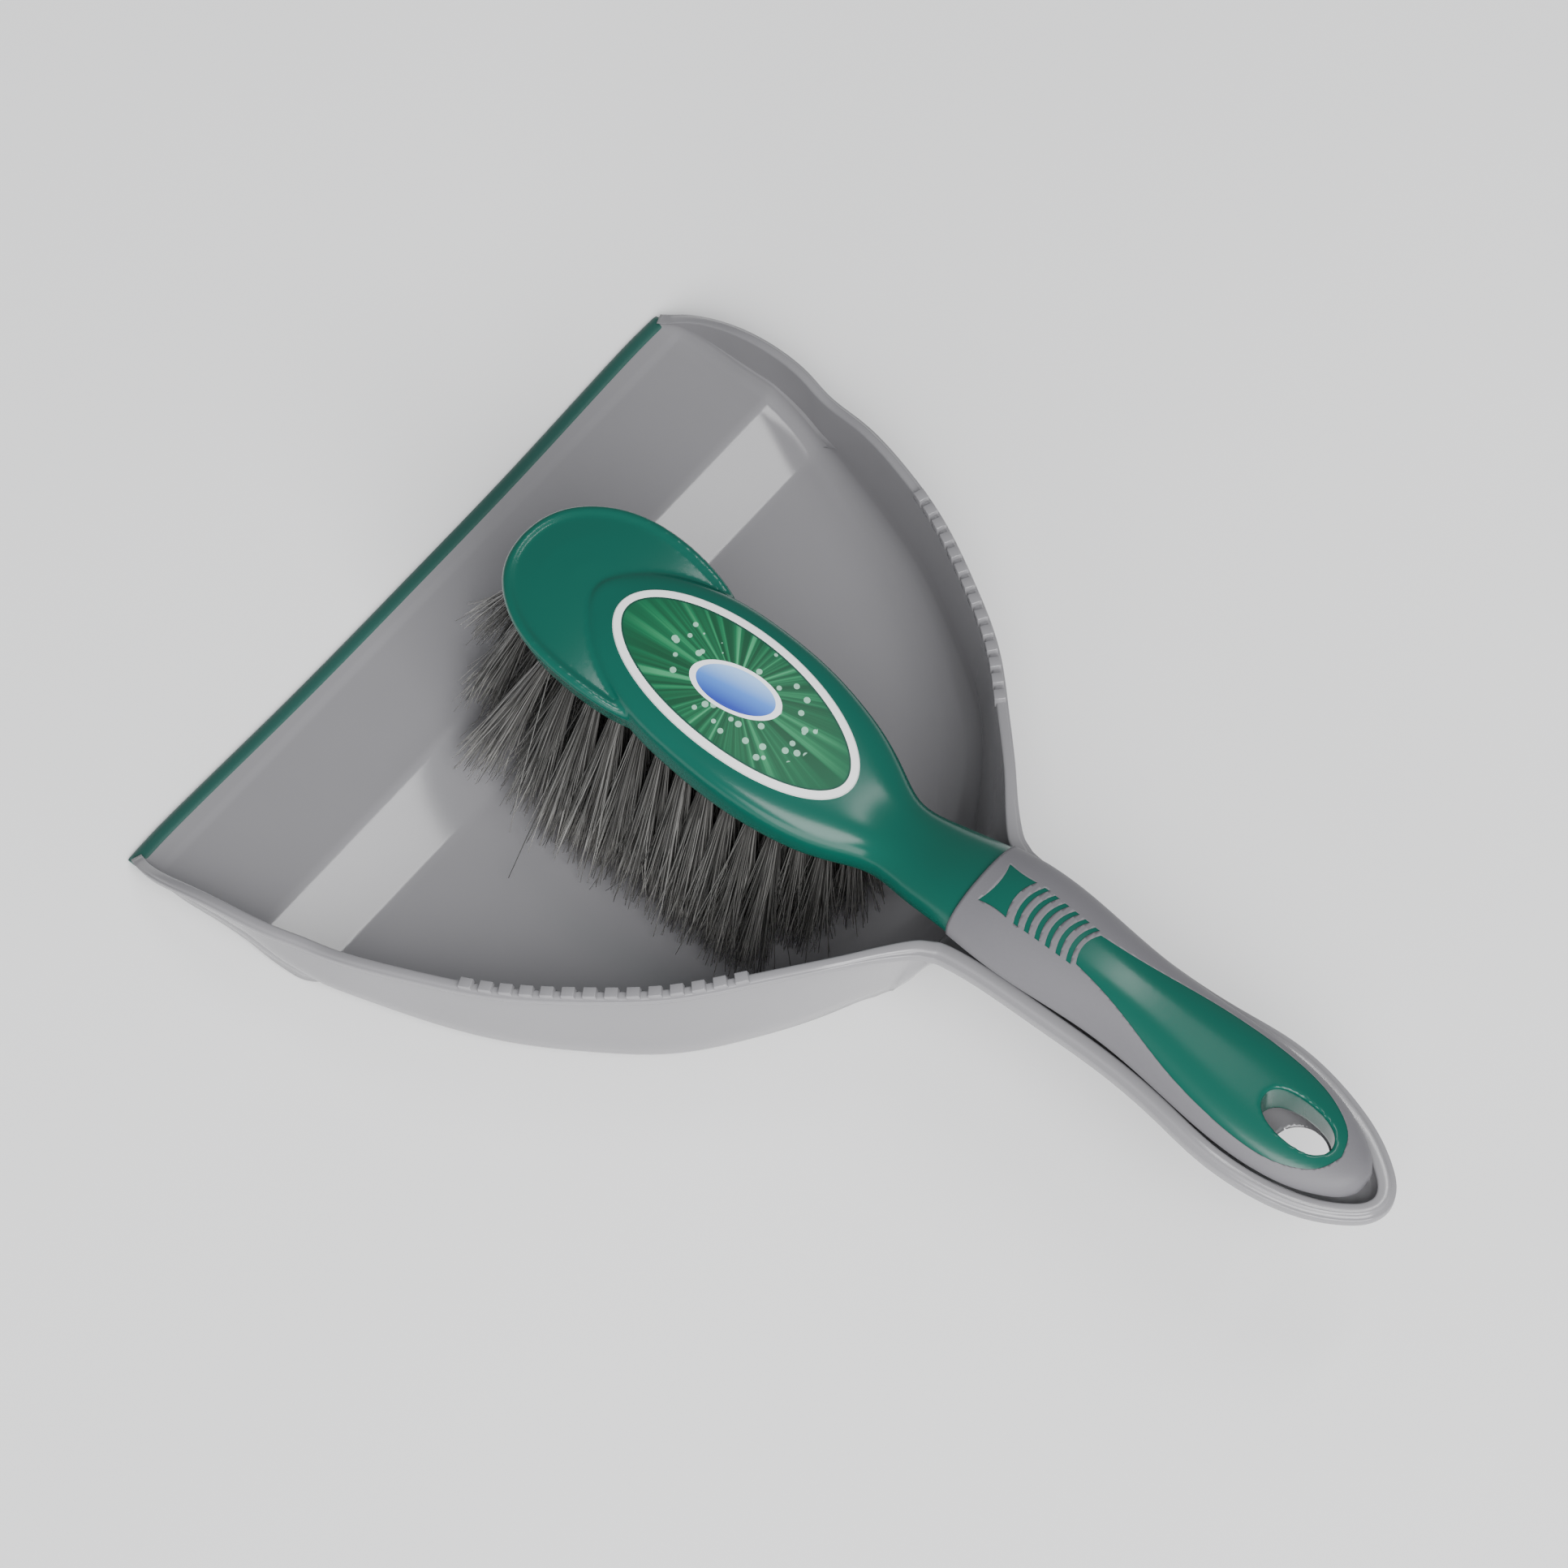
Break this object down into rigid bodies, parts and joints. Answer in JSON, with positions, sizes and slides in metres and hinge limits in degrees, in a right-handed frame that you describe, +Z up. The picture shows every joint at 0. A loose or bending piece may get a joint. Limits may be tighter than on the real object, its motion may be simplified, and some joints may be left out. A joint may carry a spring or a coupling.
{
  "type": "dustpan_and_brush",
  "caption": "Dustpan with a wide ramped mouth, soft lip, comb teeth on the rim and a trough handle, holding a matching hand brush",
  "frame": {"origin": "centre of the dustpan's length and width, on the plane of its flat base", "axes": "+X from the pan's mouth to the ends of the handles, +Z up, XZ is the plane of symmetry"},
  "size_m": [0.3431, 0.2338, 0.0852],
  "materials": {
    "pan_plastic": "satin gloss",
    "lip_rubber": "matt",
    "brush_plastic": "gloss",
    "grip_rubber": "matt",
    "label_film": "printed film",
    "bristle": "filament",
    "anchor_wire": "drawn wire"
  },
  "bodies": {
    "dustpan": {"pan_body": "pan_plastic", "pan_lip": "lip_rubber"},
    "brush": {"brush_core": "brush_plastic", "brush_grip": "grip_rubber", "brush_label": "label_film", "tufts_far_edge": "bristle", "tufts_far": "bristle", "tufts_middle": "bristle", "tufts_near": "bristle", "tufts_near_edge": "bristle", "tuft_anchors": "anchor_wire"}
  },
  "joints": [
    {"name": "brush_lift", "type": "slide", "parent": "dustpan", "child": "brush", "axis": [0, 0, 1], "range_m": [0, 0.11]}
  ]
}
